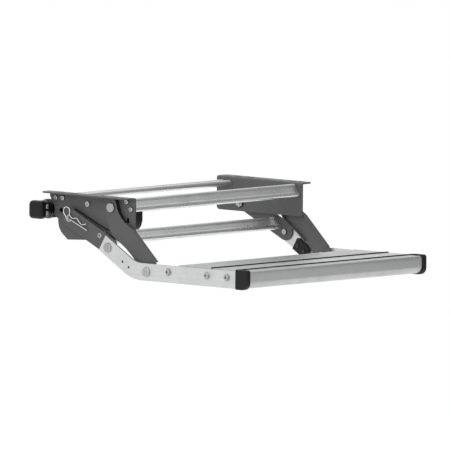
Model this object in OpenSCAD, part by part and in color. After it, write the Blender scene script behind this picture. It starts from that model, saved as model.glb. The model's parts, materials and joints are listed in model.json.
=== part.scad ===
// Caravan pull-out step: two side plates under the floor, two pairs of arms, a tread that swings out and down.
// Origin: middle of the mounting plane, on top of the two flanges. +X to the right, -Y to the front, +Z up.

/* [Overall] */
// Width over the two rails
step_w = 550; // [450:5:650]
// Gap between layers that move past each other
layer_gap = 0.5; // [0.4:0.1:1]
// Gap between pieces that sit against each other
seat_gap = 0.3; // [0.2:0.05:0.4]
// Running clearance on radius between a pin and its bore
run_clear = 0.05; // [0.02:0.01:0.1]

/* [Side plates] */
// Length of a side plate, front to back
plate_l = 240; // [236:1:280]
// Height of a side plate
plate_h = 70; // [64:1:78]
// Thickness of the sheet
plate_t = 3; // [2:0.5:4]
// Width of the mounting flange beyond the plate
flange_w = 28; // [24:1:40]
// Outside radius of the bend between plate and flange
bend_r = 5; // [4.5:0.5:8]
// Depth of the left plate where it guards the drive
guard_h = 99; // [90:1:110]
// Width of a mounting slot
slot_w = 9; // [7:0.5:11]
// Length of a mounting slot, end to end
slot_l = 22; // [16:1:28]
// Distance between the front and rear mounting slots
slot_pitch = 152; // [140:2:170]
// Offset of the extra slot behind the middle
extra_slot_y = 41; // [30:1:45]
// Radius of the corner roundings on the plates
corner_r = 8; // [4:1:12]

/* [Linkage] */
// Front pivot on the side plate, behind the middle
front_pivot_y = -60; // [-66:1:-55]
// Front pivot on the side plate, below the flange
front_pivot_z = -23; // [-28:1:-23]
// Rear pivot on the side plate, behind the middle
rear_pivot_y = 53.5; // [50:0.5:56]
// Rear pivot on the side plate, below the flange
rear_pivot_z = -52.5; // [-55:0.5:-51]
// Length of the front arm between its pivots
front_arm_l = 167.4; // [160:0.2:175]
// Angle of the front arm below level when the step is out
front_arm_drop = 49.1; // [46:0.1:52]
// Length of the rear arm between its pivots
rear_arm_l = 126; // [122:0.5:130]
// Angle of the rear arm below level when the step is out
rear_arm_drop = 25.1; // [23:0.1:27]
// Sheet thickness of the front arm
front_arm_t = 2.5; // [2:0.25:3]
// Depth of the front arm, web and flange together
front_arm_depth = 9; // [8:0.5:12]
// Half width of the front arm at its top
front_arm_r = 19; // [17:0.5:19]
// Thickness of the rear arm
rear_arm_t = 3; // [2.5:0.5:5]
// Half width of the rear arm
rear_arm_r = 19.5; // [17:0.5:19.5]
// Height of the rear arm's middle above the line through its pivots
rear_arm_rise = 1.5; // [0:0.25:1.5]
// Diameter of the pivot shanks
pivot_d = 12; // [10:0.5:14]
// Diameter of the pivot heads
pivot_head_d = 20.4; // [18:0.2:24]
// Thickness of the pivot heads
pivot_head_h = 3.8; // [3:0.2:5]
// Distance of the tie member along the rear arm from the arm's lower pivot
tie_s = 26.4; // [25:0.2:29]
// Distance of the tie member above the rear arm's middle line
tie_v = 6; // [4:0.5:7]
// Tilt of the tie member between the rear arms
tie_tilt = 42; // [36:1:48]

/* [Cross members] */
// Radius of the two lobes of a cross member
lobe_r = 6; // [5:0.25:6.5]
// Distance between the two lobes
lobe_pitch = 19.5; // [17:0.5:21]
// Thickness of the web between the lobes
lobe_web = 8.5; // [6:0.5:9.5]
// Rear cross member behind the middle
rear_member_y = 92.5; // [90:0.5:95]
// Rear cross member below the flange
rear_member_z = -13.2; // [-14:0.1:-12.5]
// Front cross member behind the middle
front_member_y = -103; // [-105:0.5:-101]
// Front cross member below the flange
front_member_z = -16.8; // [-18:0.1:-16]
// Tilt of the front cross member
front_member_tilt = 51.6; // [45:0.1:58]
// Diameter of the cross member screws
member_screw_d = 6; // [5:0.5:6]
// Diameter of the cross member screw heads
member_head_d = 10.4; // [9:0.2:12]

/* [Rails] */
// Height of the rail section
rail_h = 36; // [32:1:38]
// Thickness of the rail
rail_t = 5; // [4:0.5:8]
// Radius of the rail's bend on its middle line
rail_bend_r = 78; // [50:1:90]
// Length of the rail beyond the rear arm's pivot
rail_tail = 18.4; // [17:0.2:24]
// Height of the tread screws above the rail's middle line
screw_rise = 4.2; // [2:0.2:6]
// Diameter of the tread screw heads
tread_head_d = 16; // [13:0.5:17]
// Diameter of the tread screw shanks
tread_screw_d = 8; // [6:0.5:8.5]
// Length of the stop block on the rail
stop_l = 39; // [34:1:39]
// Height of the stop block on the rail
stop_h = 26; // [20:1:26]
// Thickness of the stop block
stop_t = 10; // [6:0.5:12]
// Start of the stop block, measured along the rail from the rear arm's pivot
stop_s = 40; // [39:0.25:40.5]

/* [Tread] */
// Distance of the tread's front edge before the middle of the plates
nose_y = 450; // [440:1:480]
// Depth of the nose section, front to back
nose_l = 30; // [28:1:40]
// Depth of the middle plank
middle_l = 69; // [62:1:74]
// Depth of the rear plank's top
rear_l = 95; // [88:1:100]
// Depth of the lowered flange behind the rear plank
apron_l = 32; // [30:0.5:36]
// Height of the tread section
tread_h = 37; // [34:0.5:40]
// Height of the tread's top above the rail's middle line
tread_rise = 19.6; // [18:0.2:21]
// Wall of the tread extrusions
tread_wall = 2.5; // [2:0.25:3]
// Width of the dark grooves in the tread
groove_w = 4; // [3:0.25:5]
// Rounding of the nose at the top
nose_top_r = 6; // [4:0.5:8]
// Rounding of the nose at the bottom
nose_low_r = 15; // [10:0.5:18]
// Thickness of an end cap across the step
cap_t = 12; // [9:0.5:16]
// Thickness of an end cap's outer wall
cap_wall = 5; // [4:0.5:8]
// How far an end cap stands proud of the nose outline
cap_lip = 2.3; // [1.5:0.1:2.6]

/* [Drive] */
// Motor axis behind the middle
motor_y = 130; // [128:0.5:136]
// Motor axis below the flange
motor_z = -39; // [-41:0.5:-37]
// Width and height of the motor's outer cap
motor_cap_w = 38; // [36:0.5:40]
// Rounding of the outer cap's corners
motor_cap_r = 9; // [7:0.5:12]
// Diameter of the motor can
motor_can_d = 37; // [34:0.5:37]
// How far the motor stands out from the side plate
motor_out = 36; // [32:1:44]
// Width of the drive housing, across the step
housing_w = 40; // [38:1:50]
// Distance of the drive housing from the side plate
housing_gap = 7; // [6.5:0.5:9]
// Height of the drive housing
housing_h = 47.5; // [45:0.5:49]
// Top of the drive housing below the flange
housing_top = -23.5; // [-25:0.5:-23]
// Front end of the drive housing
housing_front_y = -95; // [-100:1:-88]
// Wall of the drive housing
housing_wall = 2.5; // [2:0.25:3]
// Radius from the motor axis to the crank pin
crank_r = 11; // [9:0.5:11.5]
// Diameter of the release pin
release_d = 9; // [8:0.5:10]
// Outside diameter of the drive hub
hub_d = 16; // [14:0.5:18]
// Wire diameter of the retaining clip
clip_wire = 2.6; // [2:0.2:3]
// Length of the clip's straight leg beyond the pin
clip_leg = 58; // [50:1:64]
// Radius of the clip's ring on its wire's middle
clip_ring_r = 9; // [8:0.2:10]

/* [Hidden] */
$fn = 48;

// Colours
sheet_grey = [0.37, 0.37, 0.375];
alu = [0.78, 0.79, 0.79];
zinc = [0.7, 0.7, 0.69];
black = [0.12, 0.12, 0.13];
nylon = [0.2, 0.2, 0.2];

// Layers from the rail inwards, on the right side; the left side mirrors them
rail_x1 = step_w / 2;
rail_x0 = rail_x1 - rail_t;
rear_arm_x1 = rail_x0 - layer_gap;
rear_arm_x0 = rear_arm_x1 - rear_arm_t;
front_arm_x1 = rear_arm_x0 - layer_gap;
front_web_x0 = front_arm_x1 - front_arm_t;
front_arm_x0 = front_arm_x1 - front_arm_depth;
plate_x1 = front_arm_x0 - layer_gap;
plate_x0 = plate_x1 - plate_t;
flange_x1 = plate_x1 + flange_w;
slot_x = plate_x1 + flange_w / 2;
slot_y = slot_pitch / 2;

// Points are [y, z]
front_pivot = [front_pivot_y, front_pivot_z];
rear_pivot = [rear_pivot_y, rear_pivot_z];
motor_axis = [motor_y, motor_z];

// A point s along an arm and v behind its middle line
function on_arm(o, drop, s, v) =
    [o[0] - s * cos(drop) + v * sin(drop), o[1] - s * sin(drop) - v * cos(drop)];
function arc(c, r, a0, a1, n = 12) =
    [for (i = [0 : n]) c + r * [cos(a0 + (a1 - a0) * i / n), sin(a0 + (a1 - a0) * i / n)]];

front_foot = on_arm(front_pivot, front_arm_drop, front_arm_l, 0);
rear_foot = on_arm(rear_pivot, rear_arm_drop, rear_arm_l, 0);
tie_axis = on_arm(rear_pivot, rear_arm_drop, rear_arm_l - tie_s, -tie_v);
tie_lobes = [for (d = [-1, 1]) tie_axis + d * lobe_pitch / 2 * [cos(tie_tilt), sin(tie_tilt)]];
rail_z = front_foot[1];

// The rail slopes from the rear foot to its bend, and is level from there to the cap
rail_slope = 30.5;
rail_corner = [rear_foot[0] - (rear_foot[1] - rail_z) / tan(rail_slope), rail_z];
bend_reach = rail_bend_r * tan(rail_slope / 2);
nose_front = -nose_y;
nose_back = nose_front + nose_l;
rail_front = nose_back + seat_gap;
tread_top = rail_z + tread_rise;
tread_low = tread_top - tread_h;
middle_front = nose_back + seat_gap;
middle_back = middle_front + middle_l;
rear_front = middle_back + seat_gap;
rear_back = rear_front + rear_l;
apron_back = rear_back + apron_l;

// Tread screws sit on the rail's middle line
screw_z = rail_z + screw_rise;
port_r = tread_screw_d / 2 + tread_wall;
middle_port_y = middle_front + 23;
rear_port_y = rear_front + 10;
apron_port_y = apron_back - port_r - 2;
tread_ports = [middle_port_y, rear_port_y, apron_port_y];
tread_x = rail_x0 - seat_gap;
nose_x = rail_x1 - cap_wall - seat_gap;

// A flat piece of the [y, z] plane, between two x values
module slab(x0, x1) {
    translate([x0, 0, 0]) rotate([90, 0, 90]) linear_extrude(x1 - x0) children();
}
// A round piece along x at a [y, z] point
module rod(x0, x1, r, p) {
    translate([x0, p[0], p[1]]) rotate([0, 90, 0]) cylinder(h = x1 - x0, r = r);
}
module left_side() {
    mirror([1, 0, 0]) children();
}
module both_sides() {
    children();
    left_side() children();
}
module at(p) {
    translate([p[0], p[1]]) children();
}
// A hexagon socket screw along x: head from x0 outwards, shank inwards
module socket_screw(x0, head_r, head_h, shank_r, shank_l, p, socket_r) {
    difference() {
        union() {
            rod(x0, x0 + head_h, head_r, p);
            rod(x0 - shank_l, x0 + head_h / 2, shank_r, p);
        }
        hex_socket(x0 + head_h, socket_r, head_h / 2, p);
    }
}
// A hexagon socket sunk into a head, from its face at x1 inwards
module hex_socket(x1, r, depth, p) {
    translate([x1 - depth, p[0], p[1]]) rotate([0, 90, 0]) cylinder(h = depth + 1, r = r, $fn = 6);
}
// A domed head: a cylinder with a bevelled rim, turned about its axis
module domed_head(x0, r, h, p) {
    translate([x0, p[0], p[1]]) rotate([0, 90, 0])
        rotate_extrude() polygon([[0, 0], [r, 0], [r, h * 0.45], [r * 0.93, h * 0.8], [r * 0.78, h], [0, h]]);
}

// Side plates
// Bent sheet: the upright plate and the flange, seen from the front
module bent_section(depth) {
    inner_r = bend_r - plate_t;
    c = [plate_x0 + bend_r, -bend_r];
    polygon(concat(
        [[plate_x0, -depth]],
        arc(c, bend_r, 180, 90, 8),
        [[flange_x1, 0], [flange_x1, -plate_t]],
        arc(c, inner_r, 90, 180, 8),
        [[plate_x1, -depth]]));
}
module plate_outline_right() {
    back = plate_l / 2;
    polygon(concat(
        [[-back, 1], [-back, -plate_h + 2], [-back + 2, -plate_h]],
        arc([back - corner_r, -plate_h + corner_r], corner_r, -90, 0, 8),
        [[back, 1]]));
}
// The left plate goes deeper round the drive, and its back edge curves round the motor
// Ahead of the drive it follows the rear arm, clear of the tie member; points from the tie's middle
guard_tongue = [[-16.760, 5.317], [-6.760, 7.317], [1.240, 12.817], [11.240, 14.817], [20.740, 14.317]];
module plate_outline_left() {
    back = plate_l / 2;
    clear_r = motor_can_d / 2 + 5.5;
    polygon(concat(
        [[-back, 1], [-back, -plate_h + 2], [-back + 2, -plate_h], [tie_axis[0] - 18.760, -plate_h]],
        [for (q = guard_tongue) tie_axis + q],
        [[rear_pivot_y - 56, -guard_h + 4], [rear_pivot_y + 16, -guard_h]],
        arc([rear_pivot_y + 7, rear_pivot_z - 8], 36, -60, 5, 6),
        arc(motor_axis, clear_r, 205, 130, 8),
        [[back - 3, motor_z + clear_r - 1], [back, motor_z + clear_r + 4], [back, 1]]));
}
module flange_shape() {
    back = plate_l / 2;
    difference() {
        polygon(concat(
            [[plate_x0, -back]],
            arc([flange_x1 - corner_r, -back + corner_r], corner_r, -90, 0, 8),
            arc([flange_x1 - corner_r, back - corner_r], corner_r, 0, 90, 8),
            [[plate_x0, back]]));
        for (y = [-slot_y, extra_slot_y, slot_y]) mounting_slot(y, slot_l);
        for (y = [-slot_y - 24, -slot_y + 31]) translate([slot_x, y]) circle(d = slot_w);
    }
}
module mounting_slot(y, l) {
    for (d = [-1, 1]) translate([slot_x, y + d * (l - slot_w) / 2]) circle(d = slot_w);
    translate([slot_x - slot_w / 2, y - (l - slot_w) / 2]) square([slot_w, l - slot_w]);
}
// The bent sheet cut to the outline of the plate and of the flange
module bent_plate(depth) {
    intersection() {
        translate([0, plate_l / 2, 0]) rotate([90, 0, 0]) linear_extrude(plate_l) bent_section(depth);
        union() {
            slab(plate_x0 - 1, plate_x1) children();
            translate([0, 0, -bend_r]) linear_extrude(bend_r + 1) flange_shape();
        }
    }
}
member_lobes_rear = [for (d = [-1, 1]) [rear_member_y + d * lobe_pitch / 2, rear_member_z]];
member_lobes_front = [for (d = [-1, 1]) [front_member_y + d * lobe_pitch / 2 * cos(front_member_tilt),
                                         front_member_z + d * lobe_pitch / 2 * sin(front_member_tilt)]];
bush_wall = 2.5;
front_bush_r = pivot_d / 2 + bush_wall;
rear_bush_r = hub_d / 2 + bush_wall;
screw_clear = 0.2;
// Bores that both plates have
module plate_bores() {
    for (p = concat(member_lobes_rear, member_lobes_front))
        rod(plate_x0 - 1, plate_x1 + 1, member_screw_d / 2 + screw_clear, p);
    rod(plate_x0 - 1, plate_x1 + 1, pivot_d / 2 + run_clear, front_pivot);
    rod(plate_x0 - 1, plate_x1 + 1, rear_bush_r + run_clear, rear_pivot);
}
module side_plate_right() {
    color(sheet_grey) difference() {
        bent_plate(plate_h) plate_outline_right();
        plate_bores();
    }
}
housing_screw = [12, -21];
square_hole = [88, -39];
front_slot = [-99, -50];
module side_plate_left() {
    color(sheet_grey) left_side() difference() {
        bent_plate(guard_h) plate_outline_left();
        plate_bores();
        rod(plate_x0 - 1, plate_x1 + 1, member_screw_d / 2 + screw_clear, housing_screw);
        translate([plate_x0 - 1, square_hole[0], square_hole[1]]) rotate([45, 0, 0])
            translate([0, -4.5, -4.5]) cube([plate_t + 2, 9, 9]);
        translate([plate_x0 - 1, front_slot[0] - 4, front_slot[1] - 7]) cube([plate_t + 2, 8, 14]);
    }
}

// Cross members
member_x = plate_x0 - seat_gap;
module member_shape(lobes, tilt) {
    mid = (lobes[0] + lobes[1]) / 2;
    difference() {
        union() {
            for (p = lobes) at(p) circle(r = lobe_r);
            at(mid) rotate(tilt) square([lobe_pitch, lobe_web], center = true);
        }
        for (p = lobes) at(p) circle(r = member_screw_d / 2 + run_clear);
    }
}
module rear_cross_member() {
    color(alu) slab(-member_x, member_x) member_shape(member_lobes_rear, 0);
}
module front_cross_member() {
    color(alu) slab(-member_x, member_x) member_shape(member_lobes_front, front_member_tilt);
}
member_head_h = 3.4;
member_socket_r = 2.3;
member_grip = 22;
module member_screws(lobes) {
    color(zinc) both_sides() for (p = lobes) {
        difference() {
            domed_head(plate_x1 + seat_gap, member_head_d / 2, member_head_h, p);
            hex_socket(plate_x1 + seat_gap + member_head_h, member_socket_r, 2, p);
        }
        rod(plate_x1 - member_grip, plate_x1 + seat_gap + 0.5, member_screw_d / 2, p);
    }
}
module rear_member_screws() { member_screws(member_lobes_rear); }
module front_member_screws() { member_screws(member_lobes_front); }

// Front pivot: a headed pin through the arm, a spacer bush and the plate, with a nut inside
pivot_r = pivot_d / 2;
nut_h = 4.5;
nut_r = 9.5;
module front_pivot_pins() {
    color(zinc) both_sides() {
        domed_head(front_arm_x1 + seat_gap, pivot_head_d / 2, pivot_head_h, front_pivot);
        rod(plate_x0 - nut_h - 1.5, front_arm_x1 + seat_gap + 1, pivot_r, front_pivot);
    }
}
module front_pivot_nuts() {
    color(zinc) both_sides() difference() {
        translate([plate_x0 - seat_gap - nut_h, front_pivot[0], front_pivot[1]]) rotate([0, 90, 0])
            cylinder(h = nut_h, r = nut_r, $fn = 6);
        rod(plate_x0 - nut_h - 2, plate_x0 + 1, pivot_r + run_clear, front_pivot);
    }
}
module front_pivot_bushes() {
    color(nylon) both_sides() difference() {
        rod(plate_x1 + seat_gap, front_web_x0 - seat_gap, front_bush_r + 2, front_pivot);
        rod(plate_x1, front_web_x0, pivot_r + run_clear, front_pivot);
    }
}

// Rear pivot: a flanged bush in each plate; the left one carries the drive hub, the right one a bolt
rear_flange_r = rear_bush_r + 3;
module rear_pivot_bushes() {
    color(nylon) both_sides() difference() {
        union() {
            rod(plate_x0, plate_x1 + 1, rear_bush_r, rear_pivot);
            rod(plate_x1 + seat_gap, rear_arm_x0 - seat_gap, rear_flange_r, rear_pivot);
        }
        rod(plate_x0 - 1, rear_arm_x0, hub_d / 2 + run_clear, rear_pivot);
    }
}
module rear_pivot_bolt() {
    color(zinc) {
        domed_head(rear_arm_x1 + seat_gap, pivot_head_d / 2, pivot_head_h, rear_pivot);
        rod(plate_x0 - seat_gap, rear_arm_x1 + seat_gap + 1, hub_d / 2, rear_pivot);
        rod(plate_x0 - nut_h - 3, plate_x0, 4, rear_pivot);
    }
}
module rear_pivot_nut() {
    color(zinc) difference() {
        translate([plate_x0 - 2 * seat_gap - nut_h, rear_pivot[0], rear_pivot[1]]) rotate([0, 90, 0])
            cylinder(h = nut_h, r = 9, $fn = 6);
        rod(plate_x0 - nut_h - 2, plate_x0, 4 + run_clear, rear_pivot);
    }
}

// Front arms: pressed channels, web outside, with a flange along the front and the rear edge
// Points s along the arm from its pivot and v behind its middle line
front_edge = [[4, -17], [12, -12.8], [22, -10.2], [34, -9.6], [49, -11.2], [60, -14.2], [75, -18.7],
              [120, -23.4], [162, -27.7]];
rear_edge = [[115, 17.2], [101, 19.4], [89, 21.8], [48, 33.8], [32, 32.5]];
function front_point(q) = on_arm(front_pivot, front_arm_drop, q[0], q[1]);
// Angles of the points on the arm's round top, from its rear side over to its front edge
top_steps = 18;
top_start = front_arm_drop - 69;
top_angles = [for (i = [0 : top_steps]) top_start + 151 * i / top_steps];
rim_angles = [for (i = [top_steps - 5 : top_steps]) top_angles[i]];
function on_top(a, r) = front_pivot + r * [cos(a), sin(a)];
module front_arm_shape() {
    foot_r = rail_h / 2 - 1;
    polygon(concat(
        [for (q = front_edge) front_point(q)],
        [front_point([front_arm_l + 4, -24]), front_point([front_arm_l + 12, -12])],
        arc(front_foot, foot_r, 180 + front_arm_drop, 270 + front_arm_drop, 8),
        [for (q = rear_edge) front_point(q)],
        [for (a = top_angles) on_top(a, front_arm_r)]));
}
// The same front edge as a strip one sheet thick
module front_flange_shape() {
    n = len(front_edge);
    polygon(concat(
        [for (a = rim_angles) on_top(a, front_arm_r)],
        [for (q = front_edge) front_point(q)],
        [for (i = [n - 1 : -1 : 0]) front_point(front_edge[i] + [0, front_arm_t])],
        [for (i = [5 : -1 : 0]) on_top(rim_angles[i], front_arm_r - front_arm_t)]));
}
// The rear edge as a strip one sheet thick
module rear_flange_shape() {
    n = len(rear_edge);
    polygon(concat(
        [for (q = rear_edge) front_point(q)],
        [for (i = [n - 1 : -1 : 0]) front_point(rear_edge[i] - [0, front_arm_t])]));
}
module front_arm() {
    color(sheet_grey) difference() {
        union() {
            slab(front_web_x0, front_arm_x1) front_arm_shape();
            slab(front_arm_x0, front_web_x0 + 0.5) {
                front_flange_shape();
                rear_flange_shape();
            }
        }
        rod(front_arm_x0, front_arm_x1 + 1, pivot_r + run_clear, front_pivot);
        rod(front_arm_x0, front_arm_x1 + 1, pivot_r + run_clear, front_foot);
    }
}
module front_arm_right() { front_arm(); }
module front_arm_left() { left_side() front_arm(); }

// Rear arms: flat plates with round ends
module bar_shape(p, q, r) {
    d = q - p;
    at(p) circle(r = r);
    at(q) circle(r = r);
    at(p) rotate(atan2(d[1], d[0])) translate([0, -r]) square([norm(d), 2 * r]);
}
insert_r = 5.8;
tie_head_r = 5.5;
rear_arm_ends = [for (s = [0, rear_arm_l]) on_arm(rear_pivot, rear_arm_drop, s, -rear_arm_rise)];
module rear_arm() {
    color(sheet_grey) difference() {
        slab(rear_arm_x0, rear_arm_x1) bar_shape(rear_arm_ends[0], rear_arm_ends[1], rear_arm_r);
        rod(rear_arm_x0 - 1, rear_arm_x1 + 1, hub_d / 2 + run_clear, rear_pivot);
        rod(rear_arm_x0 - 1, rear_arm_x1 + 1, insert_r + run_clear, rear_foot);
        for (p = tie_lobes) rod(rear_arm_x0 - 1, rear_arm_x1 + 1, tie_head_r + screw_clear, p);
    }
}
module rear_arm_right() { rear_arm(); }
module rear_arm_left() { left_side() rear_arm(); }
// Studs in the lower ends of the rear arms, flush with the outer face
module rear_arm_inserts() {
    color(zinc) both_sides() rod(rear_arm_x0 - 3.5, rear_arm_x1, insert_r, rear_foot);
}
// The tie member stands between the rear arms and is held by two flush screws at each end
tie_screw_l = 18;
tie_x = rear_arm_x0 - seat_gap;
module tie_member() {
    color(alu) slab(-tie_x, tie_x) member_shape(tie_lobes, tie_tilt);
}
module tie_member_screws() {
    color(zinc) both_sides() for (p = tie_lobes) difference() {
        union() {
            rod(rear_arm_x0, rear_arm_x1, tie_head_r, p);
            rod(tie_x - tie_screw_l, rear_arm_x0 + 1, member_screw_d / 2, p);
        }
        hex_socket(rear_arm_x1, 2.6, 2, p);
    }
}

// Rails
module rail_shape() {
    tail = rear_foot + rail_tail * [cos(rail_slope), sin(rail_slope)];
    half = rail_h / 2;
    up = [-sin(rail_slope), cos(rail_slope)];
    c = rail_corner + [-bend_reach, rail_bend_r];
    polygon(concat(
        [tail + half * up, tail - half * up],
        arc(c, rail_bend_r + half, -90 + rail_slope, -90, 12),
        [[rail_front, rail_z - half], [rail_front, rail_z + half]],
        arc(c, rail_bend_r - half, -90, -90 + rail_slope, 12)));
}
stop_screw_r = 2.5;
stop_edge = 9.5;
stop_screw_s = [stop_s + stop_edge, stop_s + stop_l - stop_edge];
stop_v = 1.5;
module rail() {
    color(alu) difference() {
        slab(rail_x0, rail_x1) rail_shape();
        rod(rail_x0 - 1, rail_x1 + 1, pivot_r + run_clear, front_foot);
        rod(rail_x0 - 1, rail_x1 + 1, pivot_r + run_clear, rear_foot);
        for (y = tread_ports) rod(rail_x0 - 1, rail_x1 + 1, tread_screw_d / 2 + screw_clear, [y, screw_z]);
        for (s = stop_screw_s)
            rod(rail_x0 - 1, rail_x1 + 1, stop_screw_r + run_clear, on_arm(rear_foot, rail_slope, s, stop_v));
    }
}
module rail_right() { rail(); }
module rail_left() { left_side() rail(); }
module stop_blocks() {
    color(black) both_sides() difference() {
        slab(rail_x0 - seat_gap - stop_t, rail_x0 - seat_gap)
            at(on_arm(rear_foot, rail_slope, stop_s + stop_l / 2, stop_v)) rotate(rail_slope)
                square([stop_l, stop_h], center = true);
        for (s = stop_screw_s)
            rod(rail_x0 - stop_t - 1, rail_x0, stop_screw_r + run_clear, on_arm(rear_foot, rail_slope, s, stop_v));
    }
}
module stop_block_screws() {
    color(zinc) both_sides() for (s = stop_screw_s) {
        p = on_arm(rear_foot, rail_slope, s, stop_v);
        rod(rail_x0 - stop_t - seat_gap, rail_x1, stop_screw_r, p);
        rod(rail_x0 - stop_t - seat_gap * 2 - 1.6, rail_x0 - stop_t - seat_gap * 2, stop_screw_r + 1.6, p);
        rod(rail_x0 - stop_t - seat_gap * 2 - 0.5, rail_x0 - stop_t - seat_gap + 0.5, stop_screw_r, p);
    }
}

// Step pivots: the front foot turns on a bolt; the rear foot's bolt ends flush with the rail, clear of the arm
module step_pivot_bolts() {
    color(zinc) both_sides() {
        domed_head(rail_x1 + seat_gap, pivot_head_d / 2, pivot_head_h, front_foot);
        rod(front_web_x0 - nut_h - seat_gap - 1, rail_x1 + seat_gap + 1, pivot_r, front_foot);
    }
}
module step_pivot_nuts() {
    color(zinc) both_sides() difference() {
        rod(front_web_x0 - seat_gap - nut_h, front_web_x0 - seat_gap, nut_r, front_foot);
        rod(front_web_x0 - nut_h - 2, front_web_x0, pivot_r + run_clear, front_foot);
    }
}
module step_pivot_spacers() {
    color(nylon) both_sides() difference() {
        rod(front_arm_x1 + 0.1, rail_x0 - 0.1, pivot_r + 4, front_foot);
        rod(front_arm_x1, rail_x0, pivot_r + run_clear, front_foot);
    }
}
module rail_tail_bolts() {
    color(zinc) both_sides() {
        domed_head(rail_x1 + seat_gap, pivot_head_d / 2, pivot_head_h, rear_foot);
        rod(rail_x0, rail_x1 + seat_gap + 1, pivot_r, rear_foot);
    }
}

// Tread
// Outline of the nose, grown or shrunk by g
module nose_outline(g) {
    y0 = nose_front - g;
    y1 = nose_back + min(g, 0);
    z0 = tread_low - g;
    z1 = tread_top + g;
    polygon(concat(
        arc([y0 + nose_low_r, z0 + nose_low_r], nose_low_r, 180, 270, 10),
        [[y1, z0], [y1, z1]],
        arc([y0 + nose_top_r, z1 - nose_top_r], nose_top_r, 90, 180, 6)));
}
module tread_nose() {
    groove = 1;
    color(alu) slab(-nose_x, nose_x) difference() {
        nose_outline(0);
        nose_outline(-tread_wall);
        for (i = [0 : 2]) translate([nose_front + 11 + i * 5, tread_top - 0.8]) square([groove, 2]);
        translate([nose_front - 1, tread_top - 7]) square([1.6, 1.2]);
        translate([nose_back - tread_wall - 1, tongue_z - seat_gap]) square([tread_wall + 2, tongue_h + 2 * seat_gap]);
    }
}
tongue_z = tread_top - 22;
tongue_h = 4;
foot_l = 8;
// A plank: top skin, legs and screw ports, with grooves in its top
module plank_shape(front, back, legs, ports, grooves) {
    difference() {
        union() {
            translate([front, tread_top - 4]) square([back - front, 4]);
            for (y = legs) translate([y - tread_wall / 2, tread_low + 1]) square([tread_wall, tread_h - 2]);
            for (y = legs) translate([max(y - foot_l / 2, front), tread_low + 1]) square([foot_l, tread_wall]);
            for (y = ports) {
                at([y, screw_z]) circle(r = port_r);
                translate([y - 1.5, screw_z + port_r - 1]) square([3, tread_top - 1 - screw_z - port_r]);
            }
        }
        for (y = ports) at([y, screw_z]) circle(r = tread_screw_d / 2 + run_clear);
        for (y = grooves) translate([y - groove_w / 2, tread_top - 2.5]) square([groove_w, 4]);
    }
}
module tread_middle_plank() {
    front = middle_front;
    color(alu) {
        slab(-tread_x, tread_x)
            plank_shape(front, middle_back, [front + tread_wall / 2, middle_back - foot_l / 2],
                        [middle_port_y], [front + groove_w / 2]);
        slab(-nose_x, nose_x) translate([front - tread_wall, tongue_z]) square([tread_wall + 1, tongue_h]);
    }
}
module tread_rear_plank() {
    front = rear_front;
    back = rear_back;
    apron_z = screw_z + port_r - tread_wall;
    color(alu) slab(-tread_x, tread_x) difference() {
        union() {
            plank_shape(front + groove_w / 2, back, [front + 38, back - tread_wall / 2], [rear_port_y], []);
            translate([back - 1, apron_z]) square([apron_l - 2, tread_wall]);
            translate([back - 1, apron_z - 10]) square([tread_wall, 11]);
            at([apron_port_y, screw_z]) circle(r = port_r);
        }
        at([apron_port_y, screw_z]) circle(r = tread_screw_d / 2 + run_clear);
        for (i = [0 : 8]) translate([front + 9 + i * 9, tread_top - 0.8]) square([1.2, 2]);
    }
}
// End caps: an outer wall, a sleeve round the nose and a plug inside it
plug_l = 14;
module end_cap() {
    color(black) {
        slab(rail_x1 - cap_wall, rail_x1) nose_outline(cap_lip);
        slab(rail_x1 - cap_t, rail_x1 - cap_wall + 1) difference() {
            nose_outline(cap_lip);
            nose_outline(seat_gap);
        }
        slab(nose_x - plug_l, rail_x1 - cap_wall + 1) difference() {
            nose_outline(-tread_wall - seat_gap);
            nose_outline(-tread_wall * 2 - seat_gap);
        }
    }
}
module end_cap_right() { end_cap(); }
module end_cap_left() { left_side() end_cap(); }
// Tread screws: button heads with a collar and a hexagon socket
collar_h = 1.4;
button_h = 4.6;
tread_screw_l = 28;
module tread_screws() {
    collar_r = tread_head_d / 2;
    button_r = collar_r - 2.3;
    x0 = rail_x1 + seat_gap;
    color(zinc) both_sides() for (y = tread_ports) {
        p = [y, screw_z];
        difference() {
            translate([x0, p[0], p[1]]) rotate([0, 90, 0]) rotate_extrude()
                polygon([[0, 0], [collar_r, 0], [collar_r, collar_h - 0.4], [collar_r - 0.4, collar_h],
                         [button_r, collar_h], [button_r, button_h - 1.6], [button_r - 0.6, button_h - 0.6],
                         [button_r - 1.8, button_h], [0, button_h]]);
            hex_socket(x0 + button_h, 3.1, 2.6, p);
        }
        rod(x0 - tread_screw_l, x0 + 0.5, tread_screw_d / 2, p);
    }
}

// Drive, on the left side
housing_x1 = plate_x0 - housing_gap;
housing_x0 = housing_x1 - housing_w;
housing_low = housing_top - housing_h;
lid_t = 2;
lid_x0 = housing_x1 - lid_t;
round_r = motor_can_d / 2 + 1;
crank_inset = 24;
crank_x1 = housing_x1 - crank_inset;
crank_t = 5;
link_gap = 0.3;
link_x1 = crank_x1 - crank_t - link_gap;
link_t = 5;
crank_pin_r = 3;
crank_phase = 35;
eye_r = 5.5;
output_r = 4.5;
gearhead_r = round_r - housing_wall - 0.5;
function crank_pin(o) = o + crank_r * [cos(crank_phase), sin(crank_phase)];
// The top rises towards the motor, so that the link has room under it
module housing_shape(g) {
    y0 = housing_front_y + g;
    polygon([[y0, housing_top - g], [y0, housing_low + 20], [y0 + 4, housing_low + 8],
             [y0 + 9, housing_low + 2 + g], [y0 + 13, housing_low + g], [rear_pivot_y + 16 - g, housing_low + g],
             [motor_y - 34, motor_z - 13 + g / 2], [motor_y, motor_z - round_r + g],
             [motor_y, motor_z + round_r - g], [rear_pivot_y + 12, housing_top - g]]);
    at(motor_axis) circle(r = round_r - g);
}
boss_r = 7;
boss_l = 12;
mount_screw_l = 20;
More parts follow.
